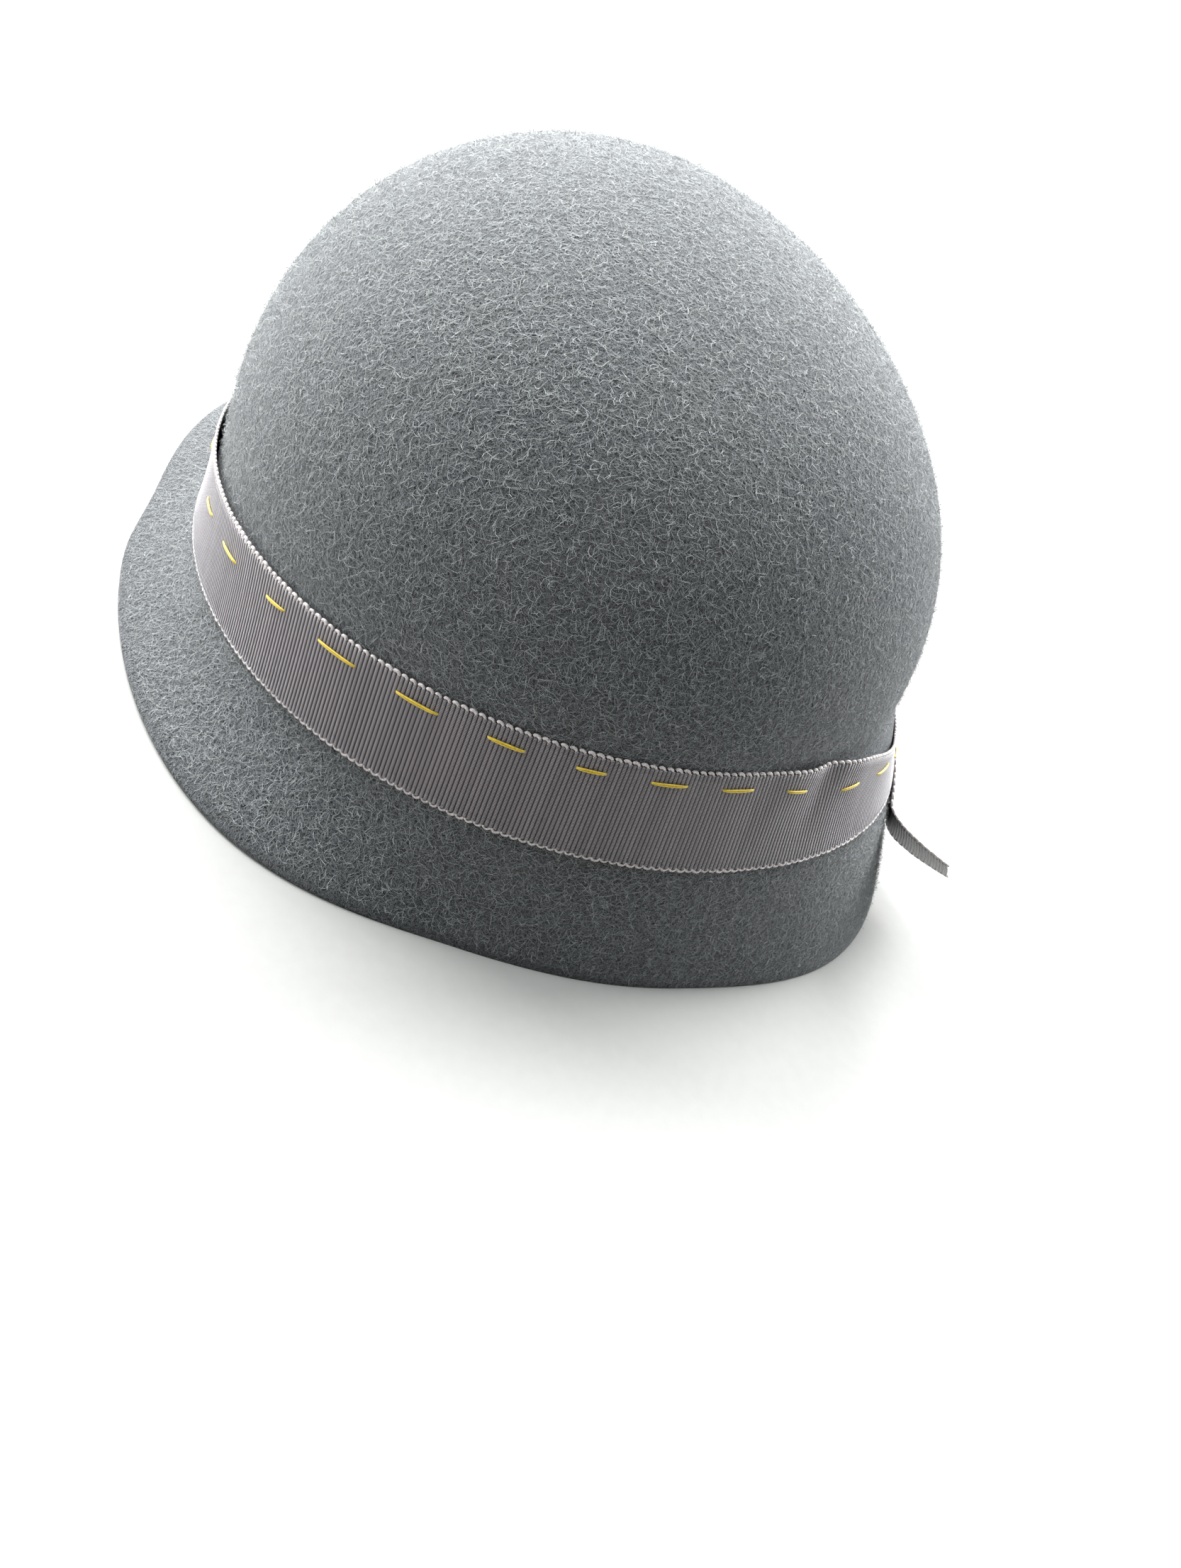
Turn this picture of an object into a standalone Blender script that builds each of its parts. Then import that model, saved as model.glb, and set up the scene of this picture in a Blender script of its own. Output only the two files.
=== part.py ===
# A cloche hat in blocked wool felt, with a petersham ribbon and a flat bow.
# It rests on its brim. Units are metres, +Z is up, the front of the hat faces -Y and the
# wearer's left is +X. The origin lies on the surface that the hat rests on, straight below
# the middle of the head oval at the ribbon's upper edge.
# Angles round the hat run from the front (0) to the wearer's left (90), back (180), right (270).

import bpy
import bmesh
import numpy as np
from mathutils import Matrix

# Crown and brim: one piece of felt
FELT_THICKNESS = 0.0025
HEAD_HALF_WIDTH = 0.0892
HEAD_HALF_LENGTH = 0.1010
HEAD_NARROWING = 0.09         # how much narrower the forehead end of the oval is, as a share
CROWN_HEIGHT = 0.0890         # from the ribbon's upper edge to the top
CROWN_SIDE_ROUNDNESS = 1.82   # exponent of the reach in the crown's section, 2 is an ellipse
CROWN_TOP_ROUNDNESS = 2.29    # exponent of the height in the crown's section
TOP_FORWARD = 0.0080          # how far the crown's top lies in front of the head oval's middle
TOP_RIGHT = 0.0015            # and towards the wearer's right
LEAN_FORWARD = 7.5            # degrees that the crown leans while the hat rests on its brim
LEAN_LEFT = 3.2
RIBBON_RISE = 0.0437          # height of the head oval's middle above the rest plane
BRIM_REACH = 0.020            # the brim's plain reach outwards beyond the ribbon
BRIM_SOFTNESS = 0.4           # share of the brim's drop that the bend below the ribbon takes
RIM_PRESS = 0.0004            # depth of felt that the brim's cut edge flattens where it rests

# Ribbon
RIBBON_WIDTH = 0.024
RIBBON_THICKNESS = 0.0006
RIBBON_DIP = 0.012            # how far its upper edge is drawn down behind the bow
CLEARANCE = 0.0003            # gap left between pieces that touch

# Bow, on the wearer's right
BOW_ANGLE = 264.0
LOOP_LENGTH = 0.024
LOOP_BULGE = 0.007
LOOP_PINCH = 0.70             # width of the loops at the knot, as a share of the ribbon's
KNOT_WIDTH = 0.010
TAIL_LENGTH = 0.070           # along the ribbon, from the middle of the knot
TAIL_ROOT_WIDTH = 0.007       # width of the gathered end under the knot
TAIL_LAID = 0.86              # share of the tail that lies flat before it stands away
TAIL_GATHERED = 0.7           # share of the tail over which its gathers open out
TAIL_BEND = 1.6               # exponent of its course, above 1 it turns down more and more

# Columns: tail, direction along the ribbon, how far its end lies below the ribbon's middle line,
# how far its end stands away from the hat
TAILS = (
    ("back", 1.0, 0.036, 0.0170),
    ("front", -1.0, 0.012, 0.0040),
)

# Divisions of the meshes
SEGMENTS_ROUND = 64
ROWS_CROWN = 13
ROWS_RIBBON = 3
ROWS_BRIM = 7
ROWS_LOOP = 18
ROWS_TAIL = 24
ROWS_KNOT_CORNER = 3
COLUMNS_BOW = 4

# How the felt changes round the hat. Shares of RIBBON_WIDTH and BRIM_REACH:
# flare is how far the ribbon's lower edge stands out beyond its upper edge,
# reach is how far the brim's edge stands out beyond the ribbon's lower edge,
# lift is how far the ribbon's upper edge stands away from the crown; below zero it lies flat.
ROUND_COLUMNS = ("angle", "flare", "reach", "lift")
ROUND_TABLE = (
    (0, 0.27, 0.90, 0.00),
    (30, 0.23, 0.90, 0.02),
    (60, 0.17, 0.67, 0.04),
    (90, 0.09, 0.84, 0.06),
    (120, 0.06, 0.97, 0.02),
    (150, 0.09, 0.41, 0.00),
    (180, 0.21, 0.28, 0.00),
    (210, 0.40, 0.65, 0.13),
    (240, 0.38, 0.89, -0.20),
    (270, 0.36, 0.96, 0.00),
    (300, 0.32, 0.98, 0.00),
    (330, 0.29, 0.96, 0.00),
)


def clear_scene():
    for item in list(bpy.data.objects):
        bpy.data.objects.remove(item, do_unlink=True)


def new_collection(name):
    collection = bpy.data.collections.new(name)
    bpy.context.scene.collection.children.link(collection)
    return collection


def make_material(name, colour, roughness):
    material = bpy.data.materials.new(name)
    material.use_nodes = True
    shader = material.node_tree.nodes["Principled BSDF"]
    shader.inputs["Base Color"].default_value = (*colour, 1.0)
    shader.inputs["Roughness"].default_value = roughness
    shader.inputs["Metallic"].default_value = 0.0
    return material


def round_share(column, angle):
    """Value of a column of ROUND_TABLE at any angle, on a smooth closed curve."""
    index = ROUND_COLUMNS.index(column)
    values = [row[index] for row in ROUND_TABLE]
    step = 2.0 * np.pi / len(values)
    place = np.asarray(angle, dtype=float) / step
    row = np.floor(place).astype(int)
    part = place - row
    before, here, after, beyond = (np.take(values, row + shift, mode="wrap") for shift in (-1, 0, 1, 2))
    slope_here = 0.5 * (after - before)
    slope_after = 0.5 * (beyond - here)
    rise = after - here
    return (here + slope_here * part + (3.0 * rise - 2.0 * slope_here - slope_after) * part ** 2
            + (slope_here + slope_after - 2.0 * rise) * part ** 3)


def lean_matrix():
    """Turns the hat from its head frame, where the ribbon's upper edge is level, to rest."""
    forward = Matrix.Rotation(np.radians(LEAN_FORWARD), 3, "X")
    left = Matrix.Rotation(np.radians(LEAN_LEFT), 3, "Y")
    return np.array(left @ forward)


LEAN = lean_matrix()


def to_rest(points):
    return np.asarray(points) @ LEAN.T + np.array((0.0, 0.0, RIBBON_RISE))


def head_oval(angle):
    """The felt's outer oval at the ribbon's upper edge, and its outward normal."""
    sine = np.sin(angle)
    cosine = np.cos(angle)
    point = np.stack([HEAD_HALF_WIDTH * sine * (1.0 - HEAD_NARROWING * cosine),
                      -HEAD_HALF_LENGTH * cosine, np.zeros_like(sine)], axis=-1)
    along = np.stack([HEAD_HALF_WIDTH * (cosine - HEAD_NARROWING * np.cos(2.0 * angle)),
                      HEAD_HALF_LENGTH * sine, np.zeros_like(sine)], axis=-1)
    along /= np.linalg.norm(along, axis=-1, keepdims=True)
    outward = np.stack([along[..., 1], -along[..., 0], np.zeros_like(sine)], axis=-1)
    return point, outward


def side_slope(angle):
    """Unit direction of the felt below the oval, down under the ribbon, and its normal."""
    outward = head_oval(angle)[1]
    flare = round_share("flare", angle)[..., None]
    drop = np.sqrt(1.0 - flare ** 2)
    up = np.array((0.0, 0.0, 1.0))
    return outward * flare - up * drop, outward * drop + up * flare


def side_point(angle, below, stand_off):
    """A point below the oval on the line of the ribbon, stand_off away from the felt."""
    down, normal = side_slope(angle)
    return head_oval(angle)[0] + down * np.asarray(below)[..., None] + normal * np.asarray(stand_off)[..., None]


def crown_ring(angle, turn):
    """The crown's outer skin at a share of the turn from its top (0) to the oval (1)."""
    reach = np.sin(0.5 * np.pi * turn) ** (2.0 / CROWN_SIDE_ROUNDNESS)
    height = max(np.cos(0.5 * np.pi * turn), 0.0) ** (2.0 / CROWN_TOP_ROUNDNESS)
    ring = head_oval(angle)[0] * reach
    ring[..., 0] -= TOP_RIGHT * height ** 2
    ring[..., 1] -= TOP_FORWARD * height ** 2
    ring[..., 2] += CROWN_HEIGHT * height
    return ring


def brim_rings(angle):
    """Rings of the brim's outer skin, from just below the ribbon to its edge on the rest plane."""
    start = side_point(angle, RIBBON_WIDTH + CLEARANCE, 0.0)
    down = side_slope(angle)[0]
    outward = head_oval(angle)[1]
    plane = LEAN[2]
    reach = round_share("reach", angle)[..., None] * BRIM_REACH
    flat = start + outward * reach
    # The inner corner of the cut edge lies lower than the outer one by the felt's thickness
    # times the cosine of the brim's slant, so the outer corner is lifted by that much.
    corner_height = np.zeros_like(reach)
    for _ in range(8):
        fall = (flat @ plane + RIBBON_RISE)[..., None] - corner_height
        end = flat - np.array((0.0, 0.0, 1.0)) * fall / plane[2]
        slant = (end - start) @ LEAN.T
        level = np.linalg.norm(slant[..., :2], axis=-1, keepdims=True)
        corner_height = FELT_THICKNESS * level / np.linalg.norm(slant, axis=-1, keepdims=True) - RIM_PRESS
    drop = ((start - end) @ plane)[..., None]
    knee = start + down * BRIM_SOFTNESS * drop
    shares = np.arange(1, ROWS_BRIM + 1) / ROWS_BRIM
    return [start * (1 - t) ** 2 + knee * 2 * t * (1 - t) + end * t ** 2 for t in shares]


def brim_bulge(angle, below):
    """How far the brim stands out beyond the line of the ribbon, at a length below the oval."""
    down, normal = side_slope(angle)
    rings = np.array([side_point(angle, RIBBON_WIDTH, 0.0)] + brim_rings(angle))
    away = rings - rings[0]
    along = np.sum(away * down, axis=-1)
    out = np.sum(away * normal, axis=-1)
    return np.array([np.interp(low - RIBBON_WIDTH, along[:, i], out[:, i]) for i, low in enumerate(below)])


def ring_angles():
    return np.arange(SEGMENTS_ROUND) * 2.0 * np.pi / SEGMENTS_ROUND


def surface_object(name, rings, material, collection, closed=True, tip=None):
    """An open surface lofted through rows of points, with an optional tip that closes one end."""
    mesh = bpy.data.meshes.new(name)
    sheet = bmesh.new()
    rows = [[sheet.verts.new(point) for point in ring] for ring in rings]
    for upper, lower in zip(rows, rows[1:]):
        count = len(upper)
        for i in range(count if closed else count - 1):
            j = (i + 1) % count
            sheet.faces.new((upper[i], lower[i], lower[j], upper[j]))
    if tip is not None:
        top = sheet.verts.new(tip)
        first = rows[0]
        for i in range(len(first)):
            sheet.faces.new((top, first[i], first[(i + 1) % len(first)]))
    sheet.to_mesh(mesh)
    sheet.free()
    mesh.shade_smooth()
    mesh.materials.append(material)
    item = bpy.data.objects.new(name, mesh)
    collection.objects.link(item)
    return item


def thicken(item, thickness, offset):
    """Give an open sheet its thickness: offset -1 builds inwards, 0 both ways."""
    solid = item.modifiers.new("thickness", "SOLIDIFY")
    solid.thickness = thickness
    solid.offset = offset
    solid.use_even_offset = True
    return solid


def make_felt_body(collection, cutters, material):
    """Crown and brim in one hollow shell, its edge flattened where it rests."""
    angle = ring_angles()
    rings = [crown_ring(angle, turn) for turn in np.arange(1, ROWS_CROWN + 1) / ROWS_CROWN]
    for row in np.arange(1, ROWS_RIBBON + 1) / ROWS_RIBBON:
        rings.append(side_point(angle, (RIBBON_WIDTH + CLEARANCE) * row, 0.0))
    rings += brim_rings(angle)
    tip = to_rest((-TOP_RIGHT, -TOP_FORWARD, CROWN_HEIGHT))
    body = surface_object("felt_body", [to_rest(ring) for ring in rings], material, collection, tip=tip)
    thicken(body, FELT_THICKNESS, -1.0)

    size = 6.0 * HEAD_HALF_LENGTH
    depth = 2.0 * CROWN_HEIGHT
    bpy.ops.mesh.primitive_cube_add(size=1.0, location=(0.0, 0.0, -0.5 * depth))
    floor = bpy.context.active_object
    floor.name = "rest_plane_cutter"
    floor.scale = (size, size, depth)
    for owner in list(floor.users_collection):
        owner.objects.unlink(floor)
    cutters.objects.link(floor)
    floor.hide_render = True
    floor.display_type = "WIRE"
    trim = body.modifiers.new("flat edge", "BOOLEAN")
    trim.operation = "DIFFERENCE"
    trim.solver = "EXACT"
    trim.object = floor
    return body


def ribbon_top(angle):
    """How far the ribbon's upper edge lies below the oval, where it is drawn down beside the bow."""
    degrees = np.degrees(angle) % 360.0
    return RIBBON_DIP * smooth((degrees - 194.0) / 32.0) * smooth((254.0 - degrees) / 20.0)


def ribbon_lift(angle, below):
    """Gap between the felt and the middle of the ribbon's thickness at a height on the ribbon."""
    away = np.maximum(round_share("lift", angle), 0.0) * RIBBON_WIDTH * (1.0 - below / RIBBON_WIDTH) ** 2
    return away + CLEARANCE + 0.5 * RIBBON_THICKNESS


def make_ribbon_band(collection, material):
    """The ribbon: a closed ring round the foot of the crown."""
    angle = ring_angles()
    rings = []
    for row in np.arange(ROWS_RIBBON + 1) / ROWS_RIBBON:
        below = np.full_like(angle, RIBBON_WIDTH * row)
        top = ribbon_top(angle)
        low = top + (RIBBON_WIDTH - top) * below / RIBBON_WIDTH
        rings.append(side_point(angle, low, ribbon_lift(angle, low)))
    band = surface_object("ribbon_band", [to_rest(ring) for ring in rings], material, collection)
    thicken(band, RIBBON_THICKNESS, 0.0)
    return band


def smooth(share):
    share = np.clip(share, 0.0, 1.0)
    return share * share * (3.0 - 2.0 * share)


def bow_point(along, below, stand_off, side):
    """A point of the bow: along the ribbon from the knot, down from the ribbon's middle line,
    and away from the ribbon's outer face. side is 1 towards the back, -1 towards the front."""
    middle = np.radians(BOW_ANGLE)
    outer = head_oval(np.array(middle))[0]
    radius = np.hypot(outer[0], outer[1])
    angle = middle - side * np.asarray(along) / radius
    down = 0.5 * RIBBON_WIDTH + np.asarray(below)
    lift = ribbon_lift(angle, np.clip(down, 0.0, RIBBON_WIDTH)) + 0.5 * RIBBON_THICKNESS
    return side_point(angle, down, lift + brim_bulge(angle, down) + stand_off)


LAYER = RIBBON_THICKNESS + CLEARANCE          # one layer of ribbon in the bow and the gap below it
TAIL_HEIGHT = LAYER - 0.5 * RIBBON_THICKNESS  # middle of the lowest layer, the tails
LOOP_HEIGHT = TAIL_HEIGHT + LAYER


def make_loop(name, side, collection, material):
    """A flattened loop: out from the knot, folded back at its end, and in again above."""
    start = CLEARANCE + 0.5 * RIBBON_THICKNESS
    rows = []
    for share in np.arange(ROWS_LOOP + 1) / ROWS_LOOP:
        reach = np.sin(np.pi * share)
        along = start + (LOOP_LENGTH - start) * reach
        height = LOOP_HEIGHT + LAYER * share + LOOP_BULGE * reach ** 2 * share
        past_knot = (along - 0.5 * KNOT_WIDTH - CLEARANCE) / (LOOP_LENGTH - 0.5 * KNOT_WIDTH)
        width = RIBBON_WIDTH * (LOOP_PINCH + (1.0 - LOOP_PINCH) * smooth(past_knot))
        across = np.linspace(-0.5, 0.5, COLUMNS_BOW + 1) * width
        level = np.ones_like(across)
        rows.append(bow_point(level * along, across, level * height, side))
    loop = surface_object(name, [to_rest(row) for row in rows], material, collection, closed=False)
    thicken(loop, RIBBON_THICKNESS, 0.0)
    return loop


def make_tail(name, side, drop, flare, collection, material):
    """A free end: gathered under the knot, laid along the ribbon and down over the brim, then
    flared away from the hat."""
    rows = []
    start = CLEARANCE + 0.5 * RIBBON_THICKNESS
    across = np.linspace(-0.5, 0.5, COLUMNS_BOW + 1)
    for share in np.arange(ROWS_TAIL + 1) / ROWS_TAIL:
        free = max((share - TAIL_LAID) / (1.0 - TAIL_LAID), 0.0) ** 1.75
        width = TAIL_ROOT_WIDTH + (RIBBON_WIDTH - TAIL_ROOT_WIDTH) * smooth(share / TAIL_GATHERED)
        turn = np.arctan(drop * TAIL_BEND * share ** (TAIL_BEND - 1.0) / TAIL_LENGTH)
        along = np.maximum(start + (TAIL_LENGTH - start) * share - np.sin(turn) * width * across, start)
        below = drop * share ** TAIL_BEND + np.cos(turn) * width * across
        rows.append(bow_point(along, below, np.full_like(across, TAIL_HEIGHT + flare * free), side))
    tail = surface_object(name, [to_rest(row) for row in rows], material, collection, closed=False)
    thicken(tail, RIBBON_THICKNESS, 0.0)
    return tail


def make_knot(collection, material):
    """The short wrap over the middle of the bow, bent down at both ends over the loops' edges."""
    half = 0.5 * RIBBON_WIDTH * LOOP_PINCH + LAYER + CLEARANCE
    top = LOOP_HEIGHT + 2.0 * LAYER + CLEARANCE
    foot = TAIL_HEIGHT + LAYER
    corner = 0.5 * (top - foot)
    path = [(-half, foot)]
    for turn in np.linspace(0.0, 0.5 * np.pi, ROWS_KNOT_CORNER + 1):
        path.append((-half + corner * (1.0 - np.cos(turn)), top - corner * (1.0 - np.sin(turn))))
    path += [(-below, height) for below, height in reversed(path)]
    rows = []
    for below, height in path:
        along = np.linspace(-0.5, 0.5, COLUMNS_BOW + 1) * KNOT_WIDTH
        level = np.ones_like(along)
        rows.append(bow_point(along, level * below, level * height, 1.0))
    knot = surface_object("bow_knot", [to_rest(row) for row in rows], material, collection, closed=False)
    thicken(knot, RIBBON_THICKNESS, 0.0)
    return knot


def build():
    clear_scene()
    hat = new_collection("cloche_hat")
    cutters = new_collection("cutters")
    felt = make_material("slate_wool_felt", (0.085, 0.098, 0.102), 0.95)
    ribbon = make_material("grey_petersham", (0.19, 0.18, 0.185), 0.7)
    make_felt_body(hat, cutters, felt)
    make_ribbon_band(hat, ribbon)
    for word, side, drop, flare in TAILS:
        make_loop(f"bow_loop_{word}", side, hat, ribbon)
        make_tail(f"bow_tail_{word}", side, drop, flare, hat, ribbon)
    make_knot(hat, ribbon)


build()
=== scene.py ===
import bpy
import numpy as np
from mathutils import Matrix, Vector


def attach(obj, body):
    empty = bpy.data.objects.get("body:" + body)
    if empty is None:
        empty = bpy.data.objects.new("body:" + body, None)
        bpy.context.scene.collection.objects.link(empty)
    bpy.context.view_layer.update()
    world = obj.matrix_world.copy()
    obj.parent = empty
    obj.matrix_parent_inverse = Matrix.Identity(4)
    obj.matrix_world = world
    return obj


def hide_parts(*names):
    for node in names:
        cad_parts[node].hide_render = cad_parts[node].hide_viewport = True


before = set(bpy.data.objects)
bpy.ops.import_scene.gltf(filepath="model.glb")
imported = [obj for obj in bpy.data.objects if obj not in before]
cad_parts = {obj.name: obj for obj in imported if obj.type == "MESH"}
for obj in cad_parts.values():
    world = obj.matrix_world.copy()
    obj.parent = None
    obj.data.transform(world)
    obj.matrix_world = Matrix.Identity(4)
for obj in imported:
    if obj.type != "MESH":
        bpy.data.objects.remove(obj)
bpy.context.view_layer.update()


# The hat body: crown and brim in one piece of wool felt, 2.5 mm thick. It was steamed and pulled
# over a wooden block, so it has no seam, and the brim is cut off plainly at its edge. The hat
# rests on that edge. The nap on it is soft and dull, mottled slate grey with a few cooler patches.

FELT_THICKNESS = 0.0025
HEAD_HALF_WIDTH = 0.0892
HEAD_HALF_LENGTH = 0.1010
HEAD_NARROWING = 0.09
CROWN_HEIGHT = 0.0890
CROWN_SIDE_ROUNDNESS = 1.82
CROWN_TOP_ROUNDNESS = 2.29
TOP_FORWARD = 0.0080
TOP_RIGHT = 0.0015
RIBBON_RISE = 0.0437
RIBBON_WIDTH = 0.024
CLEARANCE = 0.0003
BRIM_REACH = 0.020
BRIM_SOFTNESS = 0.4
RIM_PRESS = 0.0004
LEAN = np.array(Matrix.Rotation(np.radians(3.2), 3, "Y") @ Matrix.Rotation(np.radians(7.5), 3, "X"))

# Shares of the ribbon's width and of the brim's reach, every 30 degrees from the front by the
# wearer's left: the foot's flare under the ribbon, the brim's reach, the ribbon's gap at its top.
# Where that gap is below zero the ribbon lies flat.
ROUND_COLUMNS = ("angle", "flare", "reach", "lift")
ROUND_TABLE = (
    (0, 0.27, 0.90, 0.00),
    (30, 0.23, 0.90, 0.02),
    (60, 0.17, 0.67, 0.04),
    (90, 0.09, 0.84, 0.06),
    (120, 0.06, 0.97, 0.02),
    (150, 0.09, 0.41, 0.00),
    (180, 0.21, 0.28, 0.00),
    (210, 0.40, 0.65, 0.13),
    (240, 0.38, 0.89, -0.20),
    (270, 0.36, 0.96, 0.00),
    (300, 0.32, 0.98, 0.00),
    (330, 0.29, 0.96, 0.00),
)

COLUMNS_FELT = 288
ROWS_CROWN = 60
ROWS_FOOT = 6
ROWS_BRIM = 22
ROWS_EDGE = 5


def round_share(column, angle):
    """A column of ROUND_TABLE at any angle, on a smooth closed curve."""
    values = [row[ROUND_COLUMNS.index(column)] for row in ROUND_TABLE]
    place = np.asarray(angle, dtype=float) * len(values) / (2.0 * np.pi)
    row = np.floor(place).astype(int)
    part = place - row
    before, here, after, beyond = (np.take(values, row + shift, mode="wrap") for shift in (-1, 0, 1, 2))
    slope_here = 0.5 * (after - before)
    slope_after = 0.5 * (beyond - here)
    rise = after - here
    return (here + slope_here * part + (3.0 * rise - 2.0 * slope_here - slope_after) * part ** 2
            + (slope_here + slope_after - 2.0 * rise) * part ** 3)


def to_rest(points):
    """From the upright head frame to the hat as it rests, leaning forwards and to its left."""
    return np.asarray(points) @ LEAN.T + np.array((0.0, 0.0, RIBBON_RISE))


def head_oval(angle):
    """The felt's outer oval at the ribbon's upper edge, and its outward normal."""
    sine = np.sin(angle)
    cosine = np.cos(angle)
    flat = np.zeros_like(sine)
    across = HEAD_HALF_WIDTH * sine * (1.0 - HEAD_NARROWING * cosine)
    point = np.stack([across, -HEAD_HALF_LENGTH * cosine, flat], -1)
    along = np.stack([HEAD_HALF_WIDTH * (cosine - HEAD_NARROWING * np.cos(2.0 * angle)),
                      HEAD_HALF_LENGTH * sine, flat], -1)
    along /= np.linalg.norm(along, axis=-1, keepdims=True)
    return point, np.stack([along[..., 1], -along[..., 0], flat], -1)


def side_slope(angle):
    """Unit direction of the felt below the oval, and its normal."""
    outward = head_oval(angle)[1]
    flare = round_share("flare", angle)[..., None]
    drop = np.sqrt(1.0 - flare ** 2)
    up = np.array((0.0, 0.0, 1.0))
    return outward * flare - up * drop, outward * drop + up * flare


def side_point(angle, below, stand_off):
    """A point under the oval on the line of the ribbon, stand_off away from the felt."""
    down, normal = side_slope(angle)
    away = normal * np.asarray(stand_off)[..., None]
    return head_oval(angle)[0] + down * np.asarray(below)[..., None] + away


def crown_point(angle, turn):
    """The crown's skin at a share of the turn from its top (0) to the oval (1)."""
    reach = np.sin(0.5 * np.pi * turn) ** (2.0 / CROWN_SIDE_ROUNDNESS)
    height = np.maximum(np.cos(0.5 * np.pi * turn), 0.0) ** (2.0 / CROWN_TOP_ROUNDNESS)
    point = head_oval(angle)[0] * reach[..., None]
    point[..., 0] -= TOP_RIGHT * height ** 2
    point[..., 1] -= TOP_FORWARD * height ** 2
    point[..., 2] += CROWN_HEIGHT * height
    return point


def brim_point(angle, share):
    """The brim's skin from just below the ribbon (0) to its edge on the floor (1)."""
    start = side_point(angle, np.full_like(angle, RIBBON_WIDTH + CLEARANCE), np.zeros_like(angle))
    plane = LEAN[2]
    flat = start + head_oval(angle)[1] * round_share("reach", angle)[..., None] * BRIM_REACH
    corner_height = np.zeros_like(angle)[..., None]
    for _ in range(8):
        fall = (flat @ plane + RIBBON_RISE)[..., None] - corner_height
        end = flat - np.array((0.0, 0.0, 1.0)) * fall / plane[2]
        slant = (end - start) @ LEAN.T
        level = np.linalg.norm(slant[..., :2], axis=-1, keepdims=True)
        corner_height = FELT_THICKNESS * level / np.linalg.norm(slant, axis=-1, keepdims=True) - RIM_PRESS
    knee = start + side_slope(angle)[0] * BRIM_SOFTNESS * ((start - end) @ plane)[..., None]
    t = np.asarray(share)[..., None]
    return start * (1 - t) ** 2 + knee * 2 * t * (1 - t) + end * t ** 2


def bump(distance, width):
    return np.exp(-(distance / width) ** 2)


def grid_normals(grid, closed):
    """Normals of a grid of points, rows running down and columns round, faces outwards."""
    down = np.gradient(grid, axis=0)
    if closed:
        across = np.roll(grid, -1, axis=1) - np.roll(grid, 1, axis=1)
    else:
        across = np.gradient(grid, axis=1)
    normal = np.cross(down, across)
    return normal / np.maximum(np.linalg.norm(normal, axis=-1, keepdims=True), 1e-12)


def grid_faces(rows, columns, closed):
    """Four corners for each face of a grid, in the order that makes it face outwards."""
    first = np.arange(rows - 1)[:, None] * columns
    here = np.arange(columns if closed else columns - 1)[None, :]
    beside = (here + 1) % columns
    corners = (first + here, first + columns + here, first + columns + beside, first + beside)
    return np.stack(np.broadcast_arrays(*corners), -1).reshape(-1, 4)


def new_piece(name, points, faces=(), edges=()):
    mesh = bpy.data.meshes.new(name)
    pairs = [list(pair) for pair in edges]
    mesh.from_pydata(np.asarray(points).tolist(), pairs, [list(face) for face in faces])
    mesh.shade_smooth()
    mesh.update()
    item = bpy.data.objects.new(name, mesh)
    bpy.context.scene.collection.objects.link(item)
    return item


def srgb(code):
    """A hex colour as the linear numbers that a shader takes."""
    share = np.array([int(code[i:i + 2], 16) for i in (1, 3, 5)]) / 255.0
    linear = np.where(share <= 0.04045, share / 12.92, ((share + 0.055) / 1.055) ** 2.4)
    return (*linear.tolist(), 1.0)


def add_node(tree, kind, links=None, **settings):
    """One node with its settings; links gives each input a value or another node's output."""
    node = tree.nodes.new(kind)
    for name, value in settings.items():
        setattr(node, name, value)
    for name, value in (links or {}).items():
        if isinstance(value, bpy.types.NodeSocket):
            tree.links.new(value, node.inputs[name])
        else:
            node.inputs[name].default_value = value
    return node


def new_material(name):
    """An empty procedural material, its tree and its shader."""
    material = bpy.data.materials.new(name)
    material.use_nodes = True
    return material, material.node_tree, material.node_tree.nodes["Principled BSDF"]


def felt_grid():
    """Rows of points over the outer skin, round the cut edge and back up inside."""
    angle = np.arange(COLUMNS_FELT) * 2.0 * np.pi / COLUMNS_FELT
    degrees = np.degrees(angle)
    rows = []
    for turn in np.arange(1, ROWS_CROWN + 1) / ROWS_CROWN:
        row = crown_point(angle, np.full_like(angle, turn))
        hollow = np.sin(np.pi * turn) ** 2
        waves = 0.35 * np.sin(2 * angle + 1.1 + 3.0 * turn) + 0.25 * np.sin(5 * angle - 7.0 * turn)
        row += head_oval(angle)[1] * (0.001 * waves * hollow)[..., None]
        rows.append(row)
    for part in np.arange(1, ROWS_FOOT + 1) / ROWS_FOOT:
        below = np.full_like(angle, (RIBBON_WIDTH + CLEARANCE) * part)
        rows.append(side_point(angle, below, np.zeros_like(angle)))
    for share in np.arange(1, ROWS_BRIM + 1) / ROWS_BRIM:
        row = brim_point(angle, np.full_like(angle, share))
        ridge = degrees - 57.0 - 17.0 * share
        ripple = 0.6 * bump(ridge - 3.0, 6.0) - 0.5 * bump(ridge + 9.0, 7.0)
        ripple += 0.5 * np.sin(4 * angle + 0.6) * share + 0.25 * np.sin(9 * angle)
        row += head_oval(angle)[1] * (0.001 * ripple * share)[..., None]
        rows.append(row)
    outer = to_rest(np.array(rows))
    normal = grid_normals(outer, True)
    down = outer[-1] - outer[-2]
    down /= np.linalg.norm(down, axis=-1, keepdims=True)
    middle = outer[-1] - normal[-1] * 0.5 * FELT_THICKNESS
    edge = []
    for turn in np.arange(1, ROWS_EDGE) * np.pi / ROWS_EDGE:
        edge.append(middle + 0.5 * FELT_THICKNESS * (normal[-1] * np.cos(turn) + 0.6 * down * np.sin(turn)))
    inner = (outer - normal * FELT_THICKNESS)[::-2]
    grid = np.concatenate([outer, np.array(edge), inner])
    grid[..., 2] = np.maximum(grid[..., 2], 0.0)
    return grid


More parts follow.
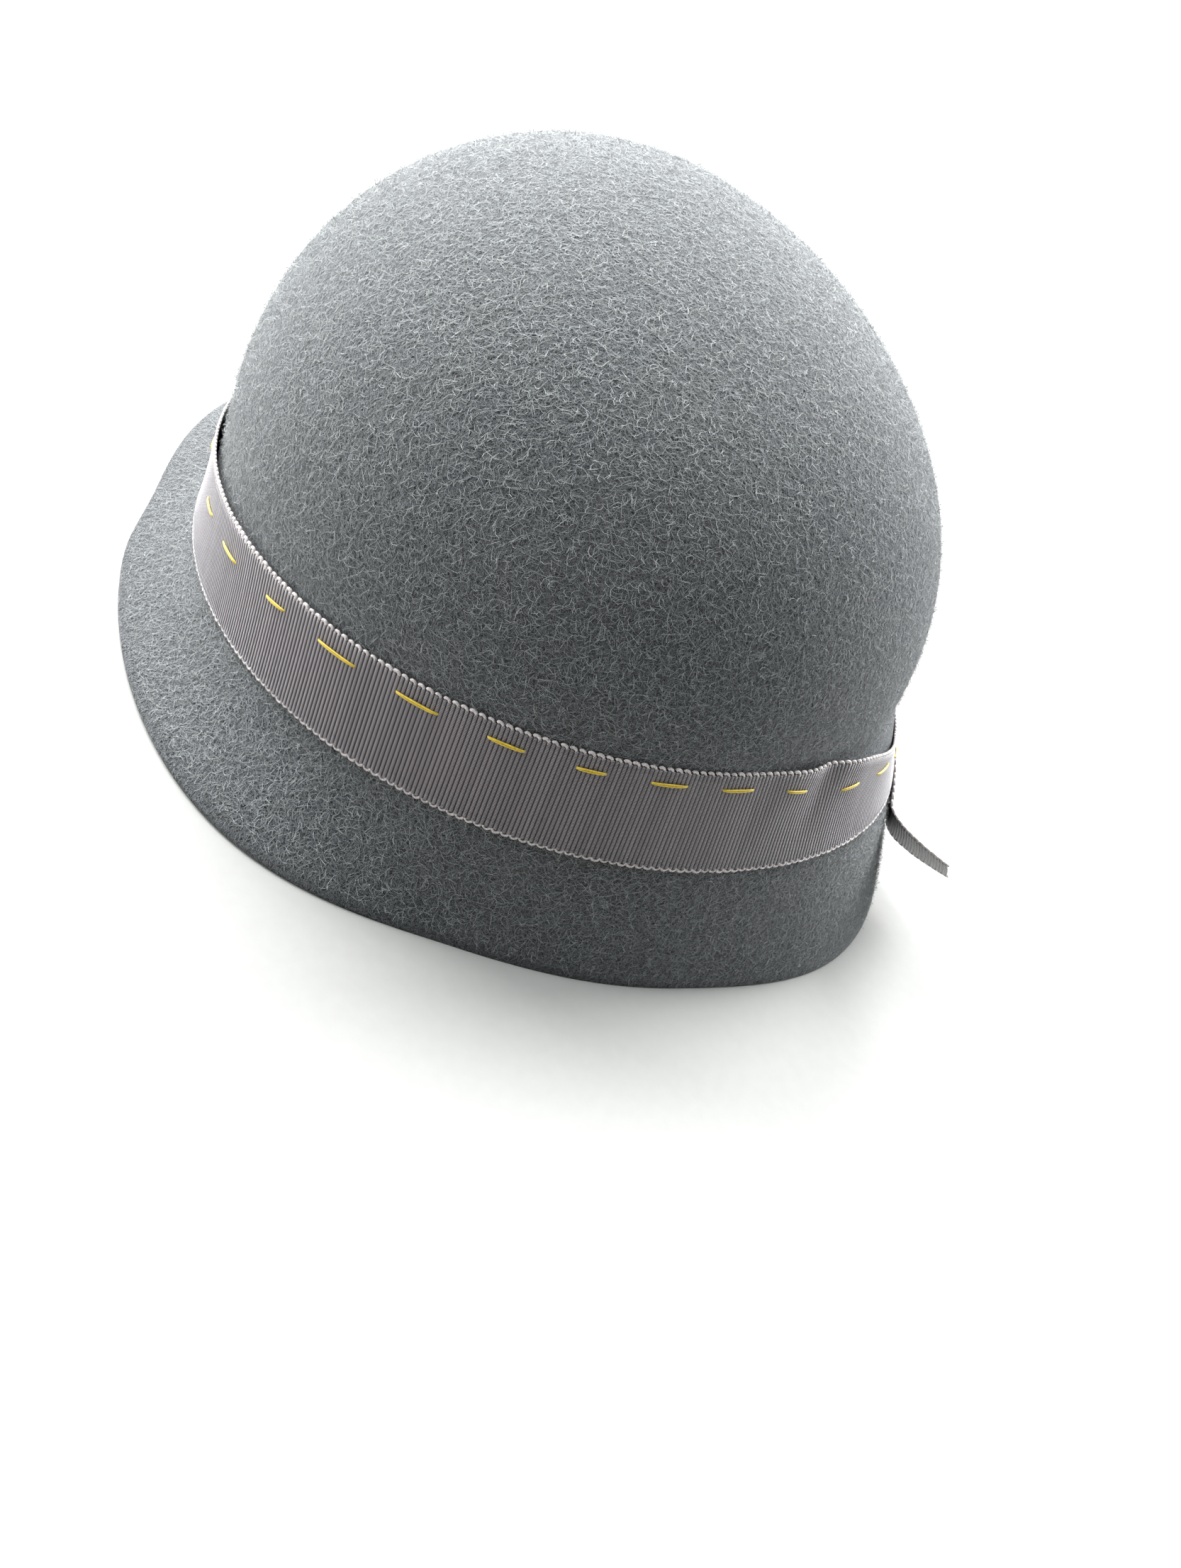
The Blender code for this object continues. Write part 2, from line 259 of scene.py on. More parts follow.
felt_rows = felt_grid()
felt_points = felt_rows.reshape(-1, 3)
felt_count = len(felt_points)
crown_tip = to_rest((-TOP_RIGHT, -TOP_FORWARD, CROWN_HEIGHT))
felt_tips = np.array([crown_tip, crown_tip - LEAN[:, 2] * FELT_THICKNESS])
felt_faces = grid_faces(len(felt_rows), COLUMNS_FELT, True).tolist()
last_row = felt_count - COLUMNS_FELT
for i in range(COLUMNS_FELT):
    j = (i + 1) % COLUMNS_FELT
    felt_faces.append((felt_count, i, j))
    felt_faces.append((felt_count + 1, last_row + j, last_row + i))
felt_skin = new_piece("felt_skin", np.concatenate([felt_points, felt_tips]), felt_faces)

# Wool felt, blocked and brushed: fibres of 20 micrometres lie matted in every direction. The
# tangle is drawn as curly lines about 0.15 mm wide, coarser than real so that it shows, over
# soft blotches of 3 mm and cool and warm patches of 30 mm. It has no gloss, only a soft sheen.
felt_material, tree, shader = new_material("slate_wool_felt")
place = add_node(tree, "ShaderNodeTexCoord").outputs["Object"]
patches = add_node(tree, "ShaderNodeTexNoise", {"Vector": place, "Scale": 34.0, "Detail": 2.0})
tint = add_node(tree, "ShaderNodeValToRGB", {"Fac": patches.outputs["Fac"]})
tint.color_ramp.elements[0].position = 0.36
tint.color_ramp.elements[0].color = srgb("#34373a")
tint.color_ramp.elements[1].position = 0.64
tint.color_ramp.elements[1].color = srgb("#3a3b3d")
blotches = add_node(tree, "ShaderNodeTexNoise",
                    {"Vector": place, "Scale": 330.0, "Detail": 3.0, "Roughness": 0.6})
shade = add_node(tree, "ShaderNodeMapRange",
                 {"Value": blotches.outputs["Fac"], "From Min": 0.3, "From Max": 0.7,
                  "To Min": 0.72, "To Max": 1.28})
tufts = add_node(tree, "ShaderNodeTexNoise",
                 {"Vector": place, "Scale": 1100.0, "Detail": 2.0, "Roughness": 0.6})
tuft_shade = add_node(tree, "ShaderNodeMapRange",
                      {"Value": tufts.outputs["Fac"], "From Min": 0.32, "From Max": 0.68,
                       "To Min": 0.45, "To Max": 1.55})
lines = []
for scale, offset, distortion in ((620.0, 0.0, 1.2), (900.0, 3.7, 0.8), (1300.0, 8.1, 0.6)):
    moved = add_node(tree, "ShaderNodeMapping", {"Vector": place, "Location": (offset, 0.3 * offset, 0.0)})
    field = add_node(tree, "ShaderNodeTexNoise",
                     {"Vector": moved.outputs["Vector"], "Scale": scale, "Detail": 0.5,
                      "Distortion": distortion})
    away = add_node(tree, "ShaderNodeMath", {0: field.outputs["Fac"], 1: 0.5}, operation="SUBTRACT")
    size = add_node(tree, "ShaderNodeMath", {0: away.outputs[0]}, operation="ABSOLUTE")
    line = add_node(tree, "ShaderNodeMapRange",
                    {"Value": size.outputs[0], "From Min": 0.0, "From Max": 0.045,
                     "To Min": 1.0, "To Max": 0.0},
                    interpolation_type="SMOOTHSTEP")
    lines.append(line.outputs[0])
two = add_node(tree, "ShaderNodeMath", {0: lines[0], 1: lines[1]}, operation="MAXIMUM")
tangle = add_node(tree, "ShaderNodeMath", {0: two.outputs[0], 1: lines[2]}, operation="MAXIMUM")
share = add_node(tree, "ShaderNodeMath", {0: tangle.outputs[0], 1: 0.6}, operation="MULTIPLY")
cover = add_node(tree, "ShaderNodeMath", {0: shade.outputs[0], 1: tuft_shade.outputs[0]},
                 operation="MULTIPLY")
ground = add_node(tree, "ShaderNodeMix", {"Factor": 1.0, "A": tint.outputs["Color"], "B": cover.outputs[0]},
                  data_type="RGBA", blend_type="MULTIPLY")
colour = add_node(tree, "ShaderNodeMix",
                  {"Factor": share.outputs[0], "A": ground.outputs["Result"], "B": srgb("#6c6f71")},
                 data_type="RGBA")
relief = add_node(tree, "ShaderNodeMath", {0: tufts.outputs["Fac"], 1: 2.0, 2: tangle.outputs[0]},
                  operation="MULTIPLY_ADD")
fuzz = add_node(tree, "ShaderNodeBump", {"Height": relief.outputs[0], "Strength": 1.0, "Distance": 0.0004})
tree.links.new(colour.outputs["Result"], shader.inputs["Base Color"])
tree.links.new(fuzz.outputs["Normal"], shader.inputs["Normal"])
shader.inputs["Roughness"].default_value = 0.95
shader.inputs["IOR"].default_value = 1.5
shader.inputs["Specular IOR Level"].default_value = 0.15
shader.inputs["Sheen Weight"].default_value = 0.6
shader.inputs["Sheen Roughness"].default_value = 0.45
shader.inputs["Sheen Tint"].default_value = srgb("#e6eaec")

felt_skin.data.materials.append(felt_material)
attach(felt_skin, "root")
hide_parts("felt_body")


# The nap: loose wool fibres that stand up out of the matted felt, 1.5 to 3 mm long and curly.
# They catch the light and give the hat its soft outline. Real ones are 0.02 mm thick; these are
# 0.07 mm, so that they show. Three pieces cover the outside: the top, the side and the brim.

FIBRE_LENGTH = 0.0023
FIBRE_WIDTH = 0.00007
FIBRE_SHAPES = (
    ((-0.5, 0.0, 0.02), (-0.2, 0.22, 0.1), (0.2, -0.2, 0.18), (0.5, 0.03, 0.24)),
    ((-0.45, -0.05, 0.02), (-0.2, 0.18, 0.12), (0.2, 0.25, 0.16), (0.45, -0.05, 0.1)),
    ((-0.35, 0.0, 0.02), (0.0, 0.02, 0.12), (0.3, 0.1, 0.26), (0.35, 0.35, 0.36)),
)


def new_geometry_tree(name, sizes):
    """A Geometry Nodes tree with a geometry input and the named sizes, of float, int or material."""
    tree = bpy.data.node_groups.new(name, "GeometryNodeTree")
    tree.interface.new_socket("Geometry", in_out="INPUT", socket_type="NodeSocketGeometry")
    for word, kind in sizes:
        tree.interface.new_socket(word, in_out="INPUT", socket_type="NodeSocket" + kind)
    tree.interface.new_socket("Geometry", in_out="OUTPUT", socket_type="NodeSocketGeometry")
    return tree, tree.nodes.new("NodeGroupInput").outputs


def end_tree(tree, geometry, material):
    """Every tree ends in plain geometry with its material."""
    real = add_node(tree, "GeometryNodeRealizeInstances", {"Geometry": geometry})
    shaded = add_node(tree, "GeometryNodeSetShadeSmooth", {"Geometry": real.outputs[0]})
    finish = add_node(tree, "GeometryNodeSetMaterial",
                      {"Geometry": shaded.outputs[0], "Material": material})
    add_node(tree, "NodeGroupOutput", {"Geometry": finish.outputs[0]})


def apply_tree(item, tree, sizes):
    """Run a tree on a piece with these sizes."""
    modifier = item.modifiers.new(tree.name, "NODES")
    modifier.node_group = tree
    for socket in tree.interface.items_tree:
        if socket.name in sizes:
            modifier[socket.identifier] = sizes[socket.name]
    return modifier


def settle(item):
    """Turn a piece and its modifiers into one plain mesh."""
    bpy.context.view_layer.update()
    graph = bpy.context.evaluated_depsgraph_get()
    mesh = bpy.data.meshes.new_from_object(item.evaluated_get(graph))
    old = item.data
    item.modifiers.clear()
    item.data = mesh
    mesh.name = item.name
    bpy.data.meshes.remove(old)


nap_tree, given = new_geometry_tree("felt_nap", (
    ("Density", "Float"), ("Seed", "Int"), ("Fibre length", "Float"), ("Fibre width", "Float"),
    ("Material", "Material")))
scatter = add_node(nap_tree, "GeometryNodeDistributePointsOnFaces",
                   {"Mesh": given["Geometry"], "Density": given["Density"], "Seed": given["Seed"]})
half = add_node(nap_tree, "ShaderNodeMath", {0: given["Fibre width"], 1: 0.5}, operation="MULTIPLY")
share_of_width = add_node(nap_tree, "ShaderNodeMath", {0: half.outputs[0], 1: given["Fibre length"]},
                          operation="DIVIDE")
one_side = add_node(nap_tree, "ShaderNodeCombineXYZ", {"X": share_of_width.outputs[0]})
other = add_node(nap_tree, "ShaderNodeMath", {0: share_of_width.outputs[0], 1: -1.0}, operation="MULTIPLY")
other_side = add_node(nap_tree, "ShaderNodeCombineXYZ", {"X": other.outputs[0]})
flat = add_node(nap_tree, "GeometryNodeCurvePrimitiveLine",
                {"Start": other_side.outputs[0], "End": one_side.outputs[0]})
kinds = add_node(nap_tree, "GeometryNodeJoinGeometry")
for start, first, second, end in FIBRE_SHAPES:
    fibre = add_node(nap_tree, "GeometryNodeCurvePrimitiveBezierSegment",
                     {"Resolution": 2, "Start": start, "Start Handle": first,
                      "End Handle": second, "End": end})
    upright = add_node(nap_tree, "GeometryNodeSetCurveNormal", {"Curve": fibre.outputs[0]}, mode="Z_UP")
    strip = add_node(nap_tree, "GeometryNodeCurveToMesh",
                     {"Curve": upright.outputs[0], "Profile Curve": flat.outputs[0]})
    one = add_node(nap_tree, "GeometryNodeGeometryToInstance", {"Geometry": strip.outputs[0]})
    nap_tree.links.new(one.outputs[0], kinds.inputs[0])
spin = add_node(nap_tree, "FunctionNodeRandomValue", {0: (-0.35, -0.25, 0.0), 1: (0.35, 0.25, 6.2832),
                                                      "Seed": given["Seed"]}, data_type="FLOAT_VECTOR")
turn = add_node(nap_tree, "FunctionNodeEulerToRotation", {0: spin.outputs[0]})
facing = add_node(nap_tree, "FunctionNodeRotateRotation",
                  {0: scatter.outputs["Rotation"], 1: turn.outputs[0]}, rotation_space="LOCAL")
which = add_node(nap_tree, "FunctionNodeRandomValue", {4: 0, 5: 2, "Seed": given["Seed"]}, data_type="INT")
spread = add_node(nap_tree, "FunctionNodeRandomValue", {2: 0.6, 3: 1.35, "Seed": given["Seed"]},
                  data_type="FLOAT")
long = add_node(nap_tree, "ShaderNodeMath", {0: spread.outputs[1], 1: given["Fibre length"]},
                operation="MULTIPLY")
fibres = add_node(nap_tree, "GeometryNodeInstanceOnPoints",
                  {"Points": scatter.outputs["Points"], "Instance": kinds.outputs[0], "Pick Instance": True,
                   "Instance Index": which.outputs[2], "Rotation": facing.outputs[0],
                   "Scale": long.outputs[0]})
end_tree(nap_tree, fibres.outputs[0], given["Material"])

# Single wool fibres, carded and loose: paler than the matted ground because light goes through
# them. Their colour varies a little from fibre to fibre.
nap_material, tree, shader = new_material("loose_wool_fibre")
place = add_node(tree, "ShaderNodeTexCoord").outputs["Object"]
fibre_tint = add_node(tree, "ShaderNodeTexNoise", {"Vector": place, "Scale": 700.0, "Detail": 1.0})
mixed = add_node(tree, "ShaderNodeMix",
                 {"Factor": fibre_tint.outputs["Fac"], "A": srgb("#505456"), "B": srgb("#a6aaaa")},
                 data_type="RGBA")
tree.links.new(mixed.outputs["Result"], shader.inputs["Base Color"])
shader.inputs["Roughness"].default_value = 0.8
shader.inputs["IOR"].default_value = 1.55
shader.inputs["Specular IOR Level"].default_value = 0.2
shader.inputs["Sheen Weight"].default_value = 0.3

# Columns: piece, first and last row of the felt's grid, seed, fibres to the square metre.
NAP_AREAS = (
    ("nap_top", 0, 37, 31, 1.9e6),
    ("nap_side", 37, ROWS_CROWN - 1, 47, 1.45e6),
    ("nap_brim", ROWS_CROWN + ROWS_FOOT - 1, ROWS_CROWN + ROWS_FOOT + ROWS_BRIM - 2, 73, 1.85e6),
)
for name, top_row, bottom_row, seed, density in NAP_AREAS:
    rows = felt_rows[top_row:bottom_row + 1]
    nap = new_piece(name, rows.reshape(-1, 3), grid_faces(len(rows), COLUMNS_FELT, True))
    apply_tree(nap, nap_tree, {"Density": density, "Seed": seed, "Fibre length": FIBRE_LENGTH,
                               "Fibre width": FIBRE_WIDTH, "Material": nap_material})
    settle(nap)
    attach(nap, "root")


# The band: petersham ribbon, 24 mm wide, pulled round the foot of the crown. Its ribs are thick
# cords laid crosswise, about 1 mm apart, each closely wound with fine grey yarn. It stands a
# little away from the crown at the wearer's left and near the bow, with soft pleats at the back.

RIBBON_THICKNESS = 0.0005
RIBBON_DIP = 0.012
RIB_PITCH = 0.00098
RIB_DEPTH = 0.00034
WINDING_PITCH = 0.00036
COLUMNS_PER_RIB = 6
ROWS_RIBBON = 12

rib_tree, given = new_geometry_tree("petersham_ribs", (
    ("Rib pitch", "Float"), ("Rib depth", "Float"), ("Material", "Material")))
along = add_node(rib_tree, "GeometryNodeInputNamedAttribute", {"Name": "along"}, data_type="FLOAT")
count = add_node(rib_tree, "ShaderNodeMath", {0: along.outputs[0], 1: given["Rib pitch"]},
                 operation="DIVIDE")
part = add_node(rib_tree, "ShaderNodeMath", {0: count.outputs[0]}, operation="FRACT")
from_middle = add_node(rib_tree, "ShaderNodeMath", {0: part.outputs[0], 1: 2.0, 2: -1.0},
                       operation="MULTIPLY_ADD")
squared = add_node(rib_tree, "ShaderNodeMath", {0: from_middle.outputs[0], 1: from_middle.outputs[0]},
                   operation="MULTIPLY")
under = add_node(rib_tree, "ShaderNodeMath", {0: 1.0, 1: squared.outputs[0]},
                 operation="SUBTRACT", use_clamp=True)
rounded = add_node(rib_tree, "ShaderNodeMath", {0: under.outputs[0]}, operation="SQRT")
centred = add_node(rib_tree, "ShaderNodeMath", {0: rounded.outputs[0], 1: 0.6}, operation="SUBTRACT")
rise = add_node(rib_tree, "ShaderNodeMath", {0: centred.outputs[0], 1: given["Rib depth"]},
                operation="MULTIPLY")
normal = add_node(rib_tree, "GeometryNodeInputNormal")
push = add_node(rib_tree, "ShaderNodeVectorMath", {0: normal.outputs[0], "Scale": rise.outputs[0]},
                operation="SCALE")
ribbed = add_node(rib_tree, "GeometryNodeSetPosition",
                  {"Geometry": given["Geometry"], "Offset": push.outputs[0]})
end_tree(rib_tree, ribbed.outputs[0], given["Material"])

# Petersham in viscose yarn over cotton cords: a satin surface of wound threads, with painted shade, near
# black in the slits between the cords and dark between the windings; the sheen is off in the painted slits.
# The windings are 0.36 mm apart, and each cord differs a little in tone.
petersham, tree, shader = new_material("grey_petersham")
weave = add_node(tree, "ShaderNodeUVMap", uv_map="ribbon")
counted = add_node(tree, "ShaderNodeMapping",
                   {"Vector": weave.outputs[0], "Scale": (1.0 / RIB_PITCH, 1.0 / WINDING_PITCH, 1.0)})
parts = add_node(tree, "ShaderNodeSeparateXYZ", {0: counted.outputs[0]})
rib_part = add_node(tree, "ShaderNodeMath", {0: parts.outputs["X"]}, operation="FRACT")
rib_side = add_node(tree, "ShaderNodeMath", {0: rib_part.outputs[0], 1: 2.0, 2: -1.0},
                    operation="MULTIPLY_ADD")
rib_edge = add_node(tree, "ShaderNodeMath", {0: rib_side.outputs[0]}, operation="ABSOLUTE")
# Painted shade: the slits between the cords are painted near black, where the grooves fall into shade.
slit_shade = add_node(tree, "ShaderNodeMapRange",
                {"Value": rib_edge.outputs[0], "From Min": 0.34, "From Max": 0.66,
                 "To Min": 0.0, "To Max": 1.0},
                interpolation_type="SMOOTHSTEP")
rib_number = add_node(tree, "ShaderNodeMath", {0: parts.outputs["X"]}, operation="FLOOR")
rib_tone = add_node(tree, "ShaderNodeTexWhiteNoise", {"W": rib_number.outputs[0]}, noise_dimensions="1D")
shifted = add_node(tree, "ShaderNodeMath", {0: rib_number.outputs[0], 1: 0.5, 2: parts.outputs["Y"]},
                   operation="MULTIPLY_ADD")
turns = add_node(tree, "ShaderNodeMath", {0: shifted.outputs[0], 1: 6.28318}, operation="MULTIPLY")
wave = add_node(tree, "ShaderNodeMath", {0: turns.outputs[0]}, operation="SINE")
wound = add_node(tree, "ShaderNodeMapRange",
                 {"Value": wave.outputs[0], "From Min": -1.0, "From Max": 0.2,
                  "To Min": 0.0, "To Max": 1.0})
tone = add_node(tree, "ShaderNodeMapRange",
                {"Value": rib_tone.outputs["Value"], "To Min": 0.85, "To Max": 1.12})
# Painted shade: the grooves between the windings are painted dark, and the crests keep the yarn's colour.
yarn = add_node(tree, "ShaderNodeMix",
                {"Factor": wound.outputs[0], "A": srgb("#1a191a"), "B": srgb("#847d80")}, data_type="RGBA")
toned = add_node(tree, "ShaderNodeMix", {"Factor": 1.0, "A": yarn.outputs["Result"], "B": tone.outputs[0]},
                 data_type="RGBA", blend_type="MULTIPLY")
cloth = add_node(tree, "ShaderNodeMix",
                 {"Factor": slit_shade.outputs[0], "A": toned.outputs["Result"], "B": srgb("#080808")},
                 data_type="RGBA")
winding = add_node(tree, "ShaderNodeBump",
                   {"Height": wound.outputs[0], "Strength": 0.8, "Distance": 0.00008})
tree.links.new(cloth.outputs["Result"], shader.inputs["Base Color"])
tree.links.new(winding.outputs["Normal"], shader.inputs["Normal"])
shader.inputs["Roughness"].default_value = 0.36
shader.inputs["IOR"].default_value = 1.5
shader.inputs["Specular IOR Level"].default_value = 0.8
shine = add_node(tree, "ShaderNodeMapRange", {"Value": slit_shade.outputs[0], "To Min": 1.0, "To Max": 0.0})
tree.links.new(shine.outputs[0], shader.inputs["Sheen Weight"])
shader.inputs["Sheen Roughness"].default_value = 0.28
shader.inputs["Sheen Tint"].default_value = srgb("#eceaf0")


def ribbon_piece(name, grid, distance, closed=False):
    """A length of the ribbon: grid rows run across it and columns along it, its front outwards."""
    rows, columns = grid.shape[:2]
    faces = grid_faces(rows, columns, closed)
    item = new_piece(name, grid.reshape(-1, 3), faces)
    mark = item.data.attributes.new("along", "FLOAT", "POINT")
    mark.data.foreach_set("value", np.tile(distance[:columns], rows).astype(np.float32))
    width = np.linspace(0.0, RIBBON_WIDTH, rows)
    column = faces % columns
    over_seam = (column == 0) & (column.max(axis=1, keepdims=True) == columns - 1) & closed
    beside = np.where(over_seam, columns, column)
    corners = np.stack([distance[beside], width[faces // columns]], -1)
    item.data.uv_layers.new(name="ribbon").data.foreach_set("uv", corners.astype(np.float32).ravel())
    apply_tree(item, rib_tree, {"Rib pitch": RIB_PITCH, "Rib depth": RIB_DEPTH, "Material": petersham})
    wall = item.modifiers.new("cloth thickness", "SOLIDIFY")
    wall.thickness = RIBBON_THICKNESS
    wall.offset = 0.0
    settle(item)
    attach(item, "root")
    return item


def pleats(angle, below):
    """Soft pleats in the band where it was eased round the back, outwards in metres."""
    degrees = np.degrees(angle)
    open_top = 1.0 - below / RIBBON_WIDTH
    folds = -1.3 * bump(degrees - 193.0 + 4.0 * (1.0 - open_top), 2.2) * open_top ** 1.5
    folds += 0.5 * bump(degrees - 199.0, 3.5) * open_top
    folds += 0.5 * bump(degrees - 187.0 + 6.0 * (1.0 - open_top), 2.5) * open_top
    return 0.001 * folds


def smooth(share):
    share = np.clip(share, 0.0, 1.0)
    return share * share * (3.0 - 2.0 * share)


def ribbon_top(angle):
    """How far the upper edge is drawn down beside the bow."""
    degrees = np.degrees(angle) % 360.0
    return RIBBON_DIP * smooth((degrees - 194.0) / 32.0) * smooth((254.0 - degrees) / 20.0)


def ribbon_gap(angle, below):
    """From the felt to the middle of the ribbon's thickness."""
    away = np.maximum(round_share("lift", angle), 0.0) * RIBBON_WIDTH * (1.0 - below / RIBBON_WIDTH) ** 2
    return away + 0.0006


def band_point(angle, below):
    gap = ribbon_gap(angle, below)
    return to_rest(side_point(angle, below, np.maximum(gap + pleats(angle, below), 0.0005)))


fine_angle = np.linspace(0.0, 2.0 * np.pi, 2881)
middle_line = band_point(fine_angle, np.full_like(fine_angle, 0.5 * RIBBON_WIDTH))
steps = np.linalg.norm(np.diff(middle_line, axis=0), axis=1)
band_run = np.concatenate([[0.0], np.cumsum(steps)])
band_ribs = 2 * int(round(band_run[-1] / RIB_PITCH / 2))
band_columns = band_ribs * COLUMNS_PER_RIB
band_angle = np.interp(np.arange(band_columns) / band_columns * band_run[-1], band_run, fine_angle)
band_top = ribbon_top(band_angle)
band_grid = np.array([band_point(band_angle, band_top + (RIBBON_WIDTH - band_top) * share)
                      for share in np.linspace(0.0, 1.0, ROWS_RIBBON + 1)])
band_distance = np.arange(band_columns + 1) / COLUMNS_PER_RIB * RIB_PITCH
band = ribbon_piece("ribbon_band_woven", band_grid, band_distance, closed=True)
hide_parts("ribbon_band")


# The band's looped edges: each pair of ribs is joined by one thick cord that turns back at the
# edge of the weave, which makes a row of small beads, paler and pinker than the ribs. The beads
# are 2 mm apart and lean over to one side along the upper edge.

# Columns: half width of a loop, its height, radius of its cord, slant.
UPPER_LOOP = (0.00068, 0.00044, 0.00036, -0.50)
LOWER_LOOP = (0.00078, 0.00070, 0.00035, 0.10)

loop_tree, given = new_geometry_tree("ribbon_edge_loops", (
    ("Loops", "Int"), ("Half width", "Float"), ("Height", "Float"), ("Cord radius", "Float"),
    ("Slant", "Float"), ("Seed", "Int"), ("Material", "Material")))
edge_curve = add_node(loop_tree, "GeometryNodeMeshToCurve", {"Mesh": given["Geometry"]})
spaced = add_node(loop_tree, "GeometryNodeResampleCurve",
                  {"Curve": edge_curve.outputs[0], "Count": given["Loops"]}, mode="COUNT")
arc = add_node(loop_tree, "GeometryNodeCurveArc",
               {"Resolution": 7, "Radius": 1.0, "Start Angle": -0.2, "Sweep Angle": 3.54})
shape = add_node(loop_tree, "ShaderNodeCombineXYZ",
                 {"X": given["Half width"], "Y": given["Height"], "Z": 1.0})
slant = add_node(loop_tree, "ShaderNodeCombineXYZ", {"Z": given["Slant"]})
leaned = add_node(loop_tree, "GeometryNodeTransform",
                  {"Geometry": arc.outputs[0], "Rotation": slant.outputs[0], "Scale": shape.outputs[0]})
ring = add_node(loop_tree, "GeometryNodeCurvePrimitiveCircle",
                {"Resolution": 6, "Radius": given["Cord radius"]})
cord = add_node(loop_tree, "GeometryNodeCurveToMesh",
                {"Curve": leaned.outputs[0], "Profile Curve": ring.outputs[0], "Fill Caps": True})
front = add_node(loop_tree, "GeometryNodeInputNamedAttribute", {"Name": "front"}, data_type="FLOAT_VECTOR")
tangent = add_node(loop_tree, "GeometryNodeInputTangent")
stand = add_node(loop_tree, "FunctionNodeAlignRotationToVector", {"Vector": front.outputs[0]}, axis="Z")
follow = add_node(loop_tree, "FunctionNodeAlignRotationToVector",
                  {"Rotation": stand.outputs[0], "Vector": tangent.outputs[0]}, axis="X", pivot_axis="Z")
uneven = add_node(loop_tree, "FunctionNodeRandomValue", {2: 0.9, 3: 1.1, "Seed": given["Seed"]},
                  data_type="FLOAT")
beads = add_node(loop_tree, "GeometryNodeInstanceOnPoints",
                 {"Points": spaced.outputs[0], "Instance": cord.outputs[0], "Rotation": follow.outputs[0],
                  "Scale": uneven.outputs[1]})
end_tree(loop_tree, beads.outputs[0], given["Material"])

# Plied viscose cord, a little fuzzy: pale pinkish grey, with darker bands where it is twisted.
edge_material, tree, shader = new_material("plied_edge_cord")
place = add_node(tree, "ShaderNodeTexCoord").outputs["Object"]
plies = add_node(tree, "ShaderNodeTexNoise", {"Vector": place, "Scale": 2600.0, "Detail": 1.0})
plied = add_node(tree, "ShaderNodeMix",
                 {"Factor": plies.outputs["Fac"], "A": srgb("#7a7374"), "B": srgb("#efe6e4")},
                 data_type="RGBA")
twist = add_node(tree, "ShaderNodeBump",
                 {"Height": plies.outputs["Fac"], "Strength": 0.6, "Distance": 0.0001})
tree.links.new(plied.outputs["Result"], shader.inputs["Base Color"])
tree.links.new(twist.outputs["Normal"], shader.inputs["Normal"])
shader.inputs["Roughness"].default_value = 0.6
shader.inputs["IOR"].default_value = 1.5
shader.inputs["Specular IOR Level"].default_value = 0.35
shader.inputs["Sheen Weight"].default_value = 0.4


def edge_loops(name, line, front, ribs, loop, seed, closed=False):
    """Beads along one edge: line runs so that the ribbon lies on its right, seen from the front."""
    count = len(line)
    edges = [(i, (i + 1) % count) for i in range(count if closed else count - 1)]
    item = new_piece(name, line, edges=edges)
    mark = item.data.attributes.new("front", "FLOAT_VECTOR", "POINT")
    mark.data.foreach_set("vector", np.asarray(front).astype(np.float32).ravel())
    half_width, height, cord_radius, slant = loop
    apply_tree(item, loop_tree, {"Loops": ribs // 2, "Half width": half_width, "Height": height,
                                 "Cord radius": cord_radius, "Slant": slant, "Seed": seed,
                                 "Material": edge_material})
    settle(item)
    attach(item, "root")
    return item


band_front = grid_normals(band_grid, True)
edge_loops("band_upper_loops", band_grid[0, ::3], band_front[0, ::3], band_ribs, UPPER_LOOP, 5,
           closed=True)
edge_loops("band_lower_loops", band_grid[-1, ::-3], band_front[-1, ::-3], band_ribs, LOWER_LOOP, 6,
           closed=True)


# The running stitches: yellow sewing cotton taken double, sewn by hand through ribbon and felt
# about 4 mm below the ribbon's upper edge. The stitches are 5 to 10 mm long and not quite even,
# and near the bow they run lower. Each shows as two threads side by side.

THREAD_RADIUS = 0.00020
# Columns: start and end in degrees, and in mm the depth of each below the oval.
STITCHES = (
    (66.0, 71.0, 8.0, 8.2),
    (84.3, 89.4, 8.2, 8.0),
    (95.7, 101.0, 7.3, 7.1),
    (109.2, 113.3, 5.3, 4.6),
    (119.5, 126.0, 4.1, 4.0),
    (131.7, 137.8, 3.6, 3.7),
    (144.0, 149.0, 3.5, 3.7),
    (155.2, 159.1, 3.5, 3.3),
    (164.7, 169.8, 3.2, 3.0),
    (174.7, 179.6, 3.4, 3.3),
    (185.0, 188.8, 4.1, 4.9),
    (196.0, 200.0, 7.2, 7.0),
    (206.3, 211.5, 9.0, 9.6),
    (219.0, 223.0, 14.6, 15.4),
    (229.5, 233.5, 16.0, 16.2),
)
PLAIN_STITCHES = np.arange(265.0, 415.0, 10.4)

thread_tree, given = new_geometry_tree("sewing_thread", (
    ("Thread radius", "Float"), ("Material", "Material")))
thread_line = add_node(thread_tree, "GeometryNodeMeshToCurve", {"Mesh": given["Geometry"]})
thread_ring = add_node(thread_tree, "GeometryNodeCurvePrimitiveCircle",
                       {"Resolution": 7, "Radius": given["Thread radius"]})
strand = add_node(thread_tree, "GeometryNodeCurveToMesh",
                  {"Curve": thread_line.outputs[0], "Profile Curve": thread_ring.outputs[0],
                   "Fill Caps": True})
end_tree(thread_tree, strand.outputs[0], given["Material"])

